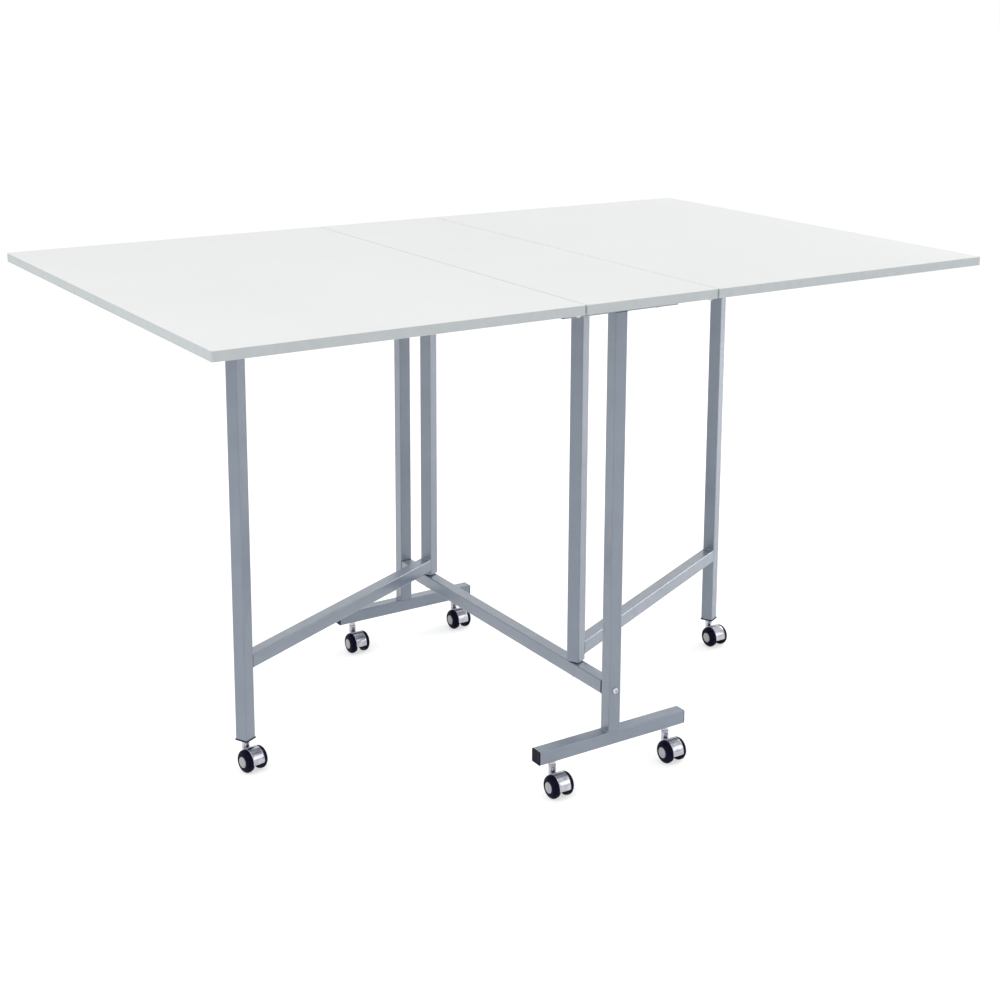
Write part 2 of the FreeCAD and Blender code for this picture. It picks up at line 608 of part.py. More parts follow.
# where each caster's swivel axis stands, and how far the caster is turned about it
CASTERS = {
    "front_left": (f"-{FOOT_CASTER_X}", f"-{POST_Y}", "0"),
    "front_right": (FOOT_CASTER_X, f"-{POST_Y}", "0"),
    "rear_left": (f"-{FOOT_CASTER_X}", POST_Y, "0"),
    "rear_right": (FOOT_CASTER_X, POST_Y, "0"),
    "left_leg": (f"-{LEG_X}", "0", "Sizes.left_leg_caster_turn"),
    "right_leg": (LEG_X, "0", "0"),
}


def at_height(radius, height, hand):
    """The point of a circle about the axle at a height, behind it or in front of it."""
    return (f"{AXLE_Y} {hand} sqrt({radius}^2 - ({height} - {WHEEL_RADIUS})^2)", height)


def over_axle(radius):
    return (AXLE_Y, f"{WHEEL_RADIUS} + {radius}")


def hood_casting(name, where):
    """Cast hood: a web with the axle's boss, fenders over the wheels' drums and the stem's boss."""
    body = new_body(f"{name}_hood_casting", **where)
    tail = f"({WHEEL_RADIUS} + Sizes.fender_tail)"
    axle_boss = "(Sizes.axle_boss_diameter / 2)"
    web = new_sketch(body, "YZ")
    outline(web, [at_height(FENDER_MIDDLE, tail, "+"), over_axle(FENDER_MIDDLE),
                  at_height(FENDER_MIDDLE, "Sizes.fender_floor", "-"),
                  (f"{AXLE_Y} - {axle_boss}", WHEEL_RADIUS), (AXLE_Y, f"{WHEEL_RADIUS} - {axle_boss}"),
                  (f"{AXLE_Y} + {axle_boss}", WHEEL_RADIUS)],
            {0: (FENDER_MIDDLE, 1), 1: (FENDER_MIDDLE, 1), 3: (axle_boss, 1), 4: (axle_boss, 1)})
    add(body, "Pad", web, "Sizes.web_thickness", "Symmetric")

    fender = new_sketch(body, "YZ")
    outline(fender, [at_height(FENDER_OUTER, tail, "+"), over_axle(FENDER_OUTER),
                     at_height(FENDER_OUTER, "Sizes.fender_floor", "-"),
                     at_height(FENDER_INNER, "Sizes.fender_floor", "-"), over_axle(FENDER_INNER),
                     at_height(FENDER_INNER, tail, "+")],
            {0: (FENDER_OUTER, 1), 1: (FENDER_OUTER, 1),
             3: (FENDER_INNER, -1), 4: (FENDER_INNER, -1)})
    add(body, "Pad", fender, f"2 * {FENDER_HALF}", "Symmetric")
    rim, half = number(FENDER_OUTER), number(FENDER_HALF)

    def outer_rim(edge):
        return (hasattr(edge.Curve, "Radius") and abs(edge.Curve.Radius - rim) < 0.01
                and abs(abs(edge.CenterOfMass.x) - half) < 0.01)

    soften(body, "Chamfer", "Sizes.fender_chamfer", outer_rim)

    boss = new_sketch(body, "XY", out="Sizes.boss_floor")
    circle(boss, f"2 * ({HALF_WEB} - Sizes.boss_inset)")
    add(body, "Pad", boss, f"{BOSS_TOP} - Sizes.boss_floor")
    soften(body, "Chamfer", "Sizes.boss_chamfer",
           lambda edge: edge.BoundBox.ZMin > number(BOSS_TOP) - 0.01)
    drill(body, "XY", "Sizes.stem_diameter + 2 * Sizes.stem_clearance", [("0", "0")],
          "Sizes.stem_depth", "One side", out=BOSS_TOP)
    drill(body, "YZ", "Sizes.axle_diameter", [(AXLE_Y, WHEEL_RADIUS)])
    return body


def pressed_axle(name, where):
    """A plain steel rod pressed through the hood's web."""
    body = new_body(f"{name}_axle", **where)
    rod = new_sketch(body, "YZ")
    circle(rod, "Sizes.axle_diameter", AXLE_Y, WHEEL_RADIUS)
    add(body, "Pad", rod, f"2 * {AXLE_HALF}", "Symmetric")
    return body


def caster_wheel(name, where, side, sign):
    """A wheel turned about its axle: drum, tread, round shoulder, hub disc and a blind bore."""
    body = keep(new_body(f"{name}_caster_{side}_wheel", **where))
    profile = new_sketch(body, "XY", up=AXLE_Y, out=WHEEL_RADIUS)
    outer = f"({WHEEL_INNER} + Sizes.wheel_width)"
    hub, face = "(Sizes.hub_diameter / 2)", f"({outer} - Sizes.hub_rise)"
    tread_start, tread_end = f"{FENDER_HALF} + Sizes.rim_gap", f"{face} - Sizes.shoulder_width"
    bore_end = f"{outer} - Sizes.hub_wall"
    stations = [
        (WHEEL_INNER, f"{AXLE_BORE} / 2"), (WHEEL_INNER, DRUM_RADIUS), (tread_start, DRUM_RADIUS),
        (tread_start, WHEEL_RADIUS), (tread_end, WHEEL_RADIUS), (face, hub), (outer, hub),
        (outer, "0"), (bore_end, "0"), (bore_end, f"{AXLE_BORE} / 2"),
    ]
    outline(profile, [(f"{sign} * ({x})", radius) for x, radius in stations],
            {4: ("Sizes.shoulder_radius", -sign)})
    turned = body.newObject("PartDesign::Revolution", f"{body.Label}_turned")
    turned.Profile = profile
    turned.ReferenceAxis = (profile, ["H_Axis"])
    turned.Angle = 360
    doc.recompute()


def caster_stem(label, where, neck):
    """The stem that the hood turns on; a foot bar's stem has a neck under the bar."""
    body = new_body(label, **where)
    start = f"{BOSS_TOP} - Sizes.stem_depth + Sizes.stem_end_gap"
    seat = FOOT_BAR_BOTTOM if neck else LEG_FOOT
    shank = new_sketch(body, "XY", out=start)
    circle(shank, "Sizes.stem_diameter")
    add(body, "Pad", shank, f"{seat} + Sizes.stem_grip - ({start})")
    if neck:
        collar = new_sketch(body, "XY", out=LEG_FOOT)
        circle(collar, "Sizes.neck_diameter")
        add(body, "Pad", collar, "Sizes.neck_length")
    return body


foot_stems = []
for name, (x, y, turn) in CASTERS.items():
    place = {"x": x, "y": y, "turn": turn}
    group(f"{name}_caster_hood", [hood_casting(name, place), pressed_axle(name, place)])
    for side, sign in SIDES.items():
        caster_wheel(name, place, side, sign)
    stem = caster_stem(f"{name}_caster_stem", place, neck="leg" not in name)
    if "leg" in name:
        keep(stem)
    else:
        foot_stems.append(stem)
group("foot_caster_stems", foot_stems)

# --------------------------------------------------------------------------- check and write
doc.recompute()
broken = [o.Label for o in doc.Objects if {"Invalid", "Error"} & set(o.State)]
broken += [label for label, node in nodes.items() if node.Shape.isNull() or not node.Shape.isValid()]
if broken:
    raise RuntimeError(f"failed objects: {broken}")
os.makedirs("parts", exist_ok=True)
for label, node in sorted(nodes.items()):
    Part.makeCompound(node.Shape.Solids).exportStep(f"parts/{label}.step")
print(f"{len(nodes)} nodes, {sum(len(node.Shape.Solids) for node in nodes.values())} solids")
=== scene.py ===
import json
import math

import bmesh
import bpy
from mathutils import Matrix, Vector


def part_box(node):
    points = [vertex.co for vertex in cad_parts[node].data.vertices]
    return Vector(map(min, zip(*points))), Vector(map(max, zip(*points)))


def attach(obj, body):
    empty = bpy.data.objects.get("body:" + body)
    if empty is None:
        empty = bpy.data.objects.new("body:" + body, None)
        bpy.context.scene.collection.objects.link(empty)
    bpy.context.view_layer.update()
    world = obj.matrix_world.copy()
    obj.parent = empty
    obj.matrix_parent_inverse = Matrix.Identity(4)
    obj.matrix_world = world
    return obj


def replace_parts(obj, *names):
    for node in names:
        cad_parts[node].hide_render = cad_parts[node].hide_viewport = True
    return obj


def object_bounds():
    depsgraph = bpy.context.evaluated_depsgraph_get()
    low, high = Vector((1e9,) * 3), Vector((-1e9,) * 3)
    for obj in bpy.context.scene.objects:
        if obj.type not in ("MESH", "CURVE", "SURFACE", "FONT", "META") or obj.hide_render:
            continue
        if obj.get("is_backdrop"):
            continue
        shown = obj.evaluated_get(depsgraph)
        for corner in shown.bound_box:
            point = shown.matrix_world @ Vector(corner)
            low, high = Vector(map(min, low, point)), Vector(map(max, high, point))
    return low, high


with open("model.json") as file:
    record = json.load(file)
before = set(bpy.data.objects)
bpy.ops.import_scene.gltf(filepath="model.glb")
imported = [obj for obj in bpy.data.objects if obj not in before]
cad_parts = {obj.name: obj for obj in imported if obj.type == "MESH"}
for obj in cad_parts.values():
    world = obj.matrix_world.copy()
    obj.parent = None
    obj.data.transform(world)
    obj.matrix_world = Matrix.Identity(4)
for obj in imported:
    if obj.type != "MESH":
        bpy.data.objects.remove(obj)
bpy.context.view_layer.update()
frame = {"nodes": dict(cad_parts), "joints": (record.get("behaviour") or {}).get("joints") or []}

# --------------------------------------------------------------------------- board top
# Three white melamine-faced particle boards that make one level work surface. Each is sawn to
# size, its edges are closed with ironed-on tape, and the arrises are eased by a light scrape.
BOARD_NODES = ("centre_panel", "left_leaf", "right_leaf")
MELAMINE_SHADE = (0.882, 0.902, 0.890, 1)
MELAMINE_LIGHT = (0.912, 0.928, 0.920, 1)
# painted shade: the edge tape is given a darker grey than the white faces, for the shade on the
# upright edges
TAPE_PAINTED_SHADE = (0.640, 0.685, 0.700, 1)
GLUE_LINE = (0.36, 0.35, 0.33, 1)
GLUE_LINE_WIDTH = 0.00025
GLUE_LINE_STRENGTH = 0.35
ARRIS = 0.0006


def set_inputs(finish, node, inputs):
    """Sets a node's inputs to values, or wires them to another node's outputs."""
    for name, value in inputs.items():
        if isinstance(value, bpy.types.NodeSocket):
            finish.node_tree.links.new(value, node.inputs[name])
        else:
            node.inputs[name].default_value = value


def add_node(finish, kind, inputs=None, **settings):
    made = finish.node_tree.nodes.new(f"ShaderNode{kind}")
    for name, value in settings.items():
        setattr(made, name, value)
    set_inputs(finish, made, inputs or {})
    return made


def new_finish(name, **fixed):
    """A material, its shader with some inputs fixed, and the piece's own coordinates in metres."""
    finish = bpy.data.materials.new(name)
    finish.use_nodes = True
    shader = finish.node_tree.nodes["Principled BSDF"]
    for key, value in fixed.items():
        shader.inputs[key.replace("_", " ")].default_value = value
    return finish, shader, add_node(finish, "TexCoord").outputs["Object"]


def grain(finish, where, scale, detail, roughness=0.5):
    """Noise over the piece: scale is features per metre."""
    inputs = {"Vector": where, "Scale": scale, "Detail": detail, "Roughness": roughness}
    return add_node(finish, "TexNoise", inputs).outputs["Fac"]


def spread(finish, value, low, high, start=0.3, end=0.7):
    """Stretches start..end of a value to low..high."""
    inputs = {"Value": value, "From Min": start, "From Max": end, "To Min": low, "To Max": high}
    return add_node(finish, "MapRange", inputs).outputs["Result"]


def drift(finish, where, scale, detail, low=0, high=1):
    """A value that wanders over the piece between low and high."""
    return spread(finish, grain(finish, where, scale, detail), low, high)


def blend_colours(finish, share, first, second):
    inputs = {"Fac": share, "Color1": first, "Color2": second}
    return add_node(finish, "MixRGB", inputs).outputs["Color"]


def maths(finish, operation, first, second=0.0):
    made = add_node(finish, "Math", operation=operation)
    for socket, value in zip(made.inputs, (first, second)):
        if isinstance(value, bpy.types.NodeSocket):
            finish.node_tree.links.new(value, socket)
        else:
            socket.default_value = value
    return made.outputs["Value"]


def raise_surface(finish, shader, height, depth, strength):
    """Bumps the shader's normal by a height of up to depth, in metres."""
    inputs = {"Height": height, "Distance": depth, "Strength": strength}
    set_inputs(finish, shader, {"Normal": add_node(finish, "Bump", inputs).outputs["Normal"]})


def melamine():
    """White faces, and on the edges the tape between two thin glue lines, in a darker grey that is
    painted shade on the upright edges.
    """
    finish, shader, where = new_finish("white_melamine", Specular_IOR_Level=0.45)
    face = blend_colours(finish, drift(finish, where, 2.2, 3), MELAMINE_SHADE, MELAMINE_LIGHT)
    normal = add_node(finish, "TexCoord").outputs["Normal"]
    up = add_node(finish, "SeparateXYZ", {"Vector": normal}).outputs["Z"]
    on_edge = maths(finish, "LESS_THAN", maths(finish, "ABSOLUTE", up), 0.5)
    height = add_node(finish, "SeparateXYZ", {"Vector": where}).outputs["Z"]
    low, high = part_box("centre_panel")
    middle = (low.z + high.z) / 2
    from_middle = maths(finish, "ABSOLUTE", maths(finish, "SUBTRACT", height, middle))
    line_start = (high.z - low.z) / 2 - ARRIS - GLUE_LINE_WIDTH
    on_line = maths(finish, "GREATER_THAN", from_middle, line_start)
    tape_tone = drift(finish, where, 60, 2, 0.97, 1.03)
    shaded_tape = add_node(finish, "MixRGB", {"Fac": 1.0, "Color1": TAPE_PAINTED_SHADE, "Color2": tape_tone},
                    blend_type="MULTIPLY").outputs["Color"]
    glued = maths(finish, "MULTIPLY", maths(finish, "MULTIPLY", on_line, on_edge),
                  GLUE_LINE_STRENGTH)
    shaded_tape = blend_colours(finish, glued, shaded_tape, GLUE_LINE)
    gloss = drift(finish, where, 9, 4, 0.30, 0.40)
    # the upright edges take the darker tape colour, which is painted shade
    set_inputs(finish, shader, {"Base Color": blend_colours(finish, on_edge, face, shaded_tape),
                                "Roughness": gloss})
    raise_surface(finish, shader, grain(finish, where, 1400, 1), 0.00002, 0.6)
    return finish


def dress(nodes, finish):
    """Gives CAD pieces their finish."""
    for name in nodes:
        piece = frame["nodes"][name]
        for index in range(len(piece.data.materials)):
            piece.data.materials[index] = finish


dress(BOARD_NODES, melamine())

# --------------------------------------------------------------------------- pedestals
# A foot bar, a post and a top bar of thin square steel tube at each end of the centre panel. They
# are welded together and powder coated silver-grey afterwards, so the coat covers the beads too.
PEDESTAL_ENDS = ("front", "rear")
COAT_DARK = (0.178, 0.217, 0.276, 1)
COAT_LIGHT = (0.240, 0.287, 0.360, 1)
TUBE = 0.024
BEAD_LENGTH = TUBE - 0.002
BEAD_LEG = 0.0026
BEAD_ROOT = BEAD_LEG * 0.25
BEAD_STEPS = 36
BEAD_ARC_STEPS = 6
BEAD_SCALLOPS = 9
# shares of the bead's size: between two scallops, in the middle of its face, and at its ends
BEAD_TROUGH, BEAD_HOLLOW, BEAD_TIP = 0.84, 0.70, 0.05
SHARP_ANGLE = math.radians(35)


def powder_coat():
    """Fine metal flakes under a clear gloss, which lightens where it is seen at a low angle."""
    finish, shader, where = new_finish("silver_powder_coat", Metallic=0.3, Coat_Weight=1.0,
                                       Coat_Roughness=0.22, Coat_IOR=1.65)
    flakes = spread(finish, grain(finish, where, 2600, 0), 0, 1, 0.25, 0.75)
    tone = maths(finish, "ADD", maths(finish, "MULTIPLY", flakes, 0.5),
                 drift(finish, where, 14, 3, 0, 0.35))
    set_inputs(finish, shader, {"Base Color": blend_colours(finish, tone, COAT_DARK, COAT_LIGHT),
                                "Roughness": drift(finish, where, 40, 3, 0.38, 0.50)})
    raise_surface(finish, shader, grain(finish, where, 700, 1), 0.00003, 0.5)
    return finish


def lofted(rings, capped=False):
    """Points and faces of the skin over rings of points. A ring of one point closes an end."""
    points, faces, rows = [], [], []
    for ring in rings:
        rows.append(range(len(points), len(points) + len(ring)))
        points += ring
    for low_row, high_row in zip(rows, rows[1:]):
        steps = max(len(low_row), len(high_row))
        for step in range(steps):
            spots = ((low_row, step), (low_row, step + 1), (high_row, step + 1), (high_row, step))
            corners = [row[spot % len(row)] for row, spot in spots]
            faces.append(tuple(dict.fromkeys(corners)))
    if capped:
        faces.append(tuple(rows[0]))
        faces.append(tuple(reversed(rows[-1])))
    return points, faces


def bead(corner, along, first_out, second_out):
    """A weld bead along the inside corner of two faces, which look first_out and second_out."""
    rings = []
    for step in range(BEAD_STEPS + 1):
        share = step / BEAD_STEPS
        scallop = abs(math.sin(math.pi * BEAD_SCALLOPS * share))
        taper = max(math.sqrt(1 - abs(2 * share - 1) ** 6), BEAD_TIP)
        size = BEAD_LEG * (BEAD_TROUGH + (1 - BEAD_TROUGH) * scallop) * taper
        at = corner + along * (share - 0.5) * BEAD_LENGTH
        ring = [at - (first_out + second_out) * BEAD_ROOT]
        for turn in range(BEAD_ARC_STEPS + 1):
            angle = math.pi / 2 * turn / BEAD_ARC_STEPS
            bulge = BEAD_HOLLOW + (1 - BEAD_HOLLOW) * abs(math.cos(2 * angle))
            out = first_out * math.cos(angle) + second_out * math.sin(angle)
            ring.append(at + out * size * bulge)
        rings.append(ring)
    return lofted(rings, capped=True)


def new_mesh(name, shapes):
    """A mesh of several (points, faces) shapes, shaded smooth but for its sharp edges."""
    points, faces = [], []
    for shape_points, shape_faces in shapes:
        start = len(points)
        points += [tuple(point) for point in shape_points]
        faces += [tuple(start + corner for corner in face) for face in shape_faces]
    mesh = bpy.data.meshes.new(name)
    mesh.from_pydata(points, [], faces)
    cleaner = bmesh.new()
    cleaner.from_mesh(mesh)
    bmesh.ops.recalc_face_normals(cleaner, faces=cleaner.faces)
    cleaner.to_mesh(mesh)
    cleaner.free()
    mesh.polygons.foreach_set("use_smooth", [True] * len(mesh.polygons))
    mesh.set_sharp_from_angle(angle=SHARP_ANGLE)
    return mesh


def new_piece(name, shapes, finish, body):
    mesh = new_mesh(name, shapes)
    mesh.materials.append(finish)
    piece = bpy.data.objects.new(name, mesh)
    bpy.context.scene.collection.objects.link(piece)
    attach(piece, body)
    return piece


silver = powder_coat()
X, Y, Z = Vector((1, 0, 0)), Vector((0, 1, 0)), Vector((0, 0, 1))
for end in PEDESTAL_ENDS:
    dress([f"{end}_{part}" for part in ("foot_bar", "post", "top_bar")], silver)
    low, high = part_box(f"{end}_post")
    middle_y = (low.y + high.y) / 2
    beads = []
    for side, x in ((-X, low.x), (X, high.x)):
        beads.append(bead(Vector((x, middle_y, low.z)), Y, side, Z))
        beads.append(bead(Vector((x, middle_y, high.z)), Y, side, -Z))
    new_piece(f"{end}_pedestal_welds", beads, silver, "frame")

# --------------------------------------------------------------------------- tube plugs
# Black moulded nylon plugs tapped into the open tube ends. The bars' plugs are flush with the tube
# and have a rounded rim and a shallow sunk panel. Those in the legs' feet have a wider flange.
NYLON_DARK = (0.004, 0.004, 0.016, 1)
NYLON_LIGHT = (0.009, 0.009, 0.026, 1)
INSERT_SIDE = 0.0214
INSERT_CORNER = 0.0008
INSERT_DEPTH = 0.015
FLANGE = 0.0015
FLANGE_CORNER = 0.002
RIM_ROUND = 0.0005
SUNK_SIDE = 0.019
SUNK_SLOPE = 0.001
SUNK_DEPTH = 0.0004
CORNER_STEPS = 6
OTHER_PLUGS = ("stretcher_end_plugs", "left_leg_foot_plug", "right_leg_foot_plug", "left_leg_cap",
               "right_leg_cap")


def black_nylon():
    """Black with a blue cast, and the mould's fine spark-eroded grain."""
    finish, shader, where = new_finish("black_nylon", Specular_IOR_Level=0.08)
    tone = drift(finish, where, 220, 3)
    set_inputs(finish, shader, {"Base Color": blend_colours(finish, tone, NYLON_DARK, NYLON_LIGHT),
                                "Roughness": drift(finish, where, 90, 2, 0.36, 0.50)})
    raise_surface(finish, shader, grain(finish, where, 2200, 1), 0.00004, 0.7)
    return finish


def square_ring(side, corner, height):
    """A ring of points round a square with round corners."""
    ring = []
    inset = (side / 2 - corner) * math.sqrt(2)
    for quarter in range(4):
        middle = math.radians(90 * quarter + 45)
        for step in range(CORNER_STEPS + 1):
            angle = math.radians(90 * (quarter + step / CORNER_STEPS))
            ring.append(Vector((inset * math.cos(middle) + corner * math.cos(angle),
                                inset * math.sin(middle) + corner * math.sin(angle), height)))
    return ring


def end_plug():
    """A plug about its own +Z, which points out of the tube."""
    rim, face = FLANGE_CORNER, FLANGE
    squares = (
        (INSERT_SIDE, INSERT_CORNER, -INSERT_DEPTH),
        (INSERT_SIDE, INSERT_CORNER, 0),
        (TUBE, rim, 0),
        (TUBE, rim, face - RIM_ROUND),
        (TUBE - RIM_ROUND * 0.6, rim, face - RIM_ROUND * 0.4),
        (TUBE - RIM_ROUND * 2, rim, face),
        (SUNK_SIDE, rim * 0.7, face),
        (SUNK_SIDE - SUNK_SLOPE * 0.6, rim * 0.6, face - SUNK_DEPTH / 2),
        (SUNK_SIDE - SUNK_SLOPE, rim * 0.6, face - SUNK_DEPTH))
    rings = [square_ring(side, corner, height) for side, corner, height in squares]
    back = Vector((0, 0, -INSERT_DEPTH))
    front = Vector((0, 0, face - SUNK_DEPTH))
    return lofted([[back], *rings, [front]])


def placed(shape, where):
    points, faces = shape
    return [where @ point for point in points], faces


def seat(place, outward):
    """A frame at a place, with its own +Z pointing outward."""
    return Matrix.Translation(place) @ outward.to_track_quat("Z", "Y").to_matrix().to_4x4()


nylon = black_nylon()
plugs = []
for end in PEDESTAL_ENDS:
    for bar in ("foot", "top"):
        low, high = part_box(f"{end}_{bar}_bar")
        middle = (low + high) / 2
        for outward, x in ((-X, low.x), (X, high.x)):
            plugs.append(placed(end_plug(), seat(Vector((x, middle.y, middle.z)), outward)))
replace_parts(new_piece("moulded_end_plugs", plugs, nylon, "frame"),
            "square_end_plugs")
dress(OTHER_PLUGS, nylon)

# --------------------------------------------------------------------------- stretchers
# Two tubes that tie the pedestals together, one low down and one under the centre panel. Each is
# clamped between the posts by zinc-plated M6 button-head bolts that run into the plugs in its ends.
ZINC_DARK = (0.50, 0.51, 0.53, 1)
ZINC_LIGHT = (0.62, 0.63, 0.65, 1)
BOLT_RADIUS = 0.003
BOLT_LENGTH = 0.042
BOLT_CHAMFER = 0.0006
BOLT_HEAD_RADIUS = 0.0053
BOLT_HEAD_RISE = 0.0032
BOLT_HEAD_RIM = 0.0005
BOLT_MOUTH = BOLT_HEAD_RADIUS * 0.56
SOCKET_ACROSS = 0.004
SOCKET_DEPTH = 0.0018
SOCKET_BEVEL = 0.0003
DOME_STEPS = 8
ROUND_STEPS = 48


def bright_zinc():
    finish, shader, where = new_finish("bright_zinc", Metallic=1.0)
    tone = drift(finish, where, 160, 4)
    set_inputs(finish, shader, {"Base Color": blend_colours(finish, tone, ZINC_DARK, ZINC_LIGHT),
                                "Roughness": drift(finish, where, 500, 3, 0.22, 0.40)})
    raise_surface(finish, shader, grain(finish, where, 1800, 2), 0.00002, 0.5)
    return finish


def round_ring(radius, height, steps):
    """A ring about +Z. The radius may be worked out from the angle."""
    ring = []
    for step in range(steps):
        angle = 2 * math.pi * step / steps
        reach = radius(angle) if callable(radius) else radius
        ring.append(Vector((reach * math.cos(angle), reach * math.sin(angle), height)))
    return ring


def turned(stations, steps=ROUND_STEPS):
    """A piece turned about +Z through (radius, height) stations."""
    return lofted([[Vector((0, 0, height))] if radius == 0 else round_ring(radius, height, steps)
                   for radius, height in stations])


def dome(rim, top, steps):
    """The stations of a rounded head, from its rim up and in to the edge of its flat top."""
    stations = []
    for step in range(steps + 1):
        angle = math.pi / 2 * step / steps
        stations.append((top[0] + (rim[0] - top[0]) * math.cos(angle),
                         rim[1] + (top[1] - rim[1]) * math.sin(angle)))
    return stations


def hexagon(across):
    """A hexagon's outline: how far it reaches at each angle."""
    def reach(angle):
        return across / 2 / math.cos(angle % (math.pi / 3) - math.pi / 6)
    return reach


def button_bolt():
    """A domed bolt with a hexagon socket. Its seat is at zero height."""
    end, top = -BOLT_LENGTH, BOLT_HEAD_RISE
    socket = hexagon(SOCKET_ACROSS)
    return turned([
        (0, end), (BOLT_RADIUS - BOLT_CHAMFER, end), (BOLT_RADIUS, end + BOLT_CHAMFER),
        (BOLT_RADIUS, 0), (BOLT_HEAD_RADIUS, 0),
        *dome((BOLT_HEAD_RADIUS, BOLT_HEAD_RIM), (BOLT_MOUTH, top), DOME_STEPS),
        (BOLT_MOUTH - SOCKET_BEVEL, top), (socket, top - SOCKET_BEVEL),
        (socket, top - SOCKET_DEPTH), (0, top - SOCKET_DEPTH - SOCKET_BEVEL)])


zinc = bright_zinc()
dress(["lower_stretcher", "upper_stretcher"], silver)
bolts = []
for outward, y in ((-Y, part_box("front_post")[0].y), (Y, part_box("rear_post")[1].y)):
    for stretcher in ("lower_stretcher", "upper_stretcher"):
        low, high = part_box(stretcher)
        bolts.append(placed(button_bolt(), seat(Vector((0, y, (low.z + high.z) / 2)), outward)))
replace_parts(new_piece("button_head_bolts", bolts, zinc, "frame"), "stretcher_bolts")

# --------------------------------------------------------------------------- gates
# Two swinging leg frames of the same tube. A pivot tube, a leg and two bars are welded into each
# gate, and it turns on steel pins in plastic bushes between the two stretchers.
SIDES = {"left": -1, "right": 1}
joints = {joint["name"]: joint for joint in frame["joints"]}


def gate_place(side):
    """A gate's pivot, its outward direction and its reach."""
    pivot = Vector(joints[f"{side}_gate_swing"]["pos_m"])
    leg = Vector(joints[f"{side}_leg_caster_swivel"]["pos_m"])
    run = Vector((leg.x - pivot.x, leg.y - pivot.y, 0))
    return pivot, run.normalized(), run.length


for side in SIDES:
    dress([f"{side}_gate_{part}" for part in ("pivot_tube", "leg", "lower_bar", "upper_bar")],
          silver)
    dress([f"{side}_gate_bushes"], nylon)
    pivot, outward, reach = gate_place(side)
    beads = []
    for bar in ("lower", "upper"):
        low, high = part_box(f"{side}_gate_{bar}_bar")
        for start, facing in ((TUBE / 2, outward), (reach - TUBE / 2, -outward)):
            for level, up in ((low.z, -Z), (high.z, Z)):
                # the upper bar ends level with the pivot tube's top, with no corner for a bead
                level_top = bar == "upper" and up is Z and facing is outward
                at = pivot + outward * start
                if not level_top:
                    beads.append(bead(Vector((at.x, at.y, level)), Z.cross(outward), facing, up))
    new_piece(f"{side}_gate_welds", beads, silver, f"{side}_gate")
dress(["pivot_washers"], nylon)
dress(["lower_pivot_pins", "upper_pivot_pins"], zinc)

# --------------------------------------------------------------------------- hinges and screws
# Three zinc-plated butt hinges under each seam, screwed to both boards, and the four long screws
# that come up through the top bars into the centre panel. All have pan heads with a cross recess.
HINGE_NODES = ("centre_hinge_flaps", "left_leaf_hinge_flaps", "right_leaf_hinge_flaps",
               "hinge_pins")
HINGE_HALF_LENGTH = 0.030
FLAP_THICKNESS = 0.0015
FLAP_HOLE_X = 0.017
FLAP_HOLE_Y = 0.018
PANEL_SCREW_HEAD = 0.0045
PANEL_SCREW_SHANK = 0.002
PANEL_SCREW_LENGTH = 0.034
SMALL_SCREW_HEAD = 0.0037
SMALL_SCREW_RISE = 0.0018
SMALL_SCREW_SHANK = 0.0018
FLAP_SCREW_LENGTH = 0.013
PAN_STEPS = 6
SCREW_STEPS = 72
# a recess arm's reach as a share of the head's radius, and its half width as a share of its reach
RECESS_REACH, RECESS_HALF_WIDTH = 0.5, 0.32
LEAST_SINE = 1e-6


def cross(arm):
    """A cross recess's outline: how far it reaches at each angle."""
    half = arm * RECESS_HALF_WIDTH

    def reach(angle):
        from_arm = abs((angle + math.pi / 4) % (math.pi / 2) - math.pi / 4)
        return min(arm / math.cos(from_arm), half / max(math.sin(from_arm), LEAST_SINE))
    return reach


def pan_screw(head, rise, shank, length):
    """A screw with its seat at zero height. Its stations are shares of its own sizes."""
    arm = head * RECESS_REACH
    return turned([
        (0, -length), (shank * 0.4, -length * 0.97), (shank, -length * 0.8), (shank, 0),
        (head, 0), *dome((head, rise * 0.25), (head * 0.72, rise), PAN_STEPS),
        (cross(arm), rise), (cross(arm * 0.62), rise * 0.42), (0, rise * 0.3)], SCREW_STEPS)


def driven_up(screw, place):
    """A screw with its head to the floor."""
    return placed(screw, seat(place, -Z))


dress(HINGE_NODES, zinc)
low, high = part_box("panel_screws")
under_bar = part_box("front_top_bar")[0].z
panel_screw = pan_screw(PANEL_SCREW_HEAD, under_bar - low.z, PANEL_SCREW_SHANK, PANEL_SCREW_LENGTH)
screws = []
for x in (low.x + PANEL_SCREW_HEAD, high.x - PANEL_SCREW_HEAD):
    for y in (low.y + PANEL_SCREW_HEAD, high.y - PANEL_SCREW_HEAD):
        screws.append(driven_up(panel_screw, Vector((x, y, under_bar))))
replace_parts(new_piece("long_panel_screws", screws, zinc, "frame"), "panel_screws")

flap_screw = pan_screw(SMALL_SCREW_HEAD, SMALL_SCREW_RISE, SMALL_SCREW_SHANK, FLAP_SCREW_LENGTH)
centre_screws = []
for side, sign in SIDES.items():
    low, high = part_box(f"{side}_leaf_hinge_flaps")
    seam = joints[f"{side}_leaf_lift"]["pos_m"][0]
    leaf_screws = []
    for row in (low.y + HINGE_HALF_LENGTH, 0, high.y - HINGE_HALF_LENGTH):
        for y in (row - FLAP_HOLE_Y, row + FLAP_HOLE_Y):
            for screw_set, out in ((leaf_screws, sign), (centre_screws, -sign)):
                spot = Vector((seam + out * FLAP_HOLE_X, y, high.z - FLAP_THICKNESS))
                screw_set.append(driven_up(flap_screw, spot))
    new_piece(f"{side}_leaf_hinge_screws", leaf_screws, zinc, f"{side}_leaf")
new_piece("centre_hinge_screws", centre_screws, zinc, "frame")

# --------------------------------------------------------------------------- leg stops
# A black moulded block under each leaf that the open leg comes up against. Two pan-head screws
# through it hold it to the board.
STOP_SCREW_SPACING = 0.022
STOP_MIDDLE = 0.0197
STOP_SCREW_LENGTH = 0.022

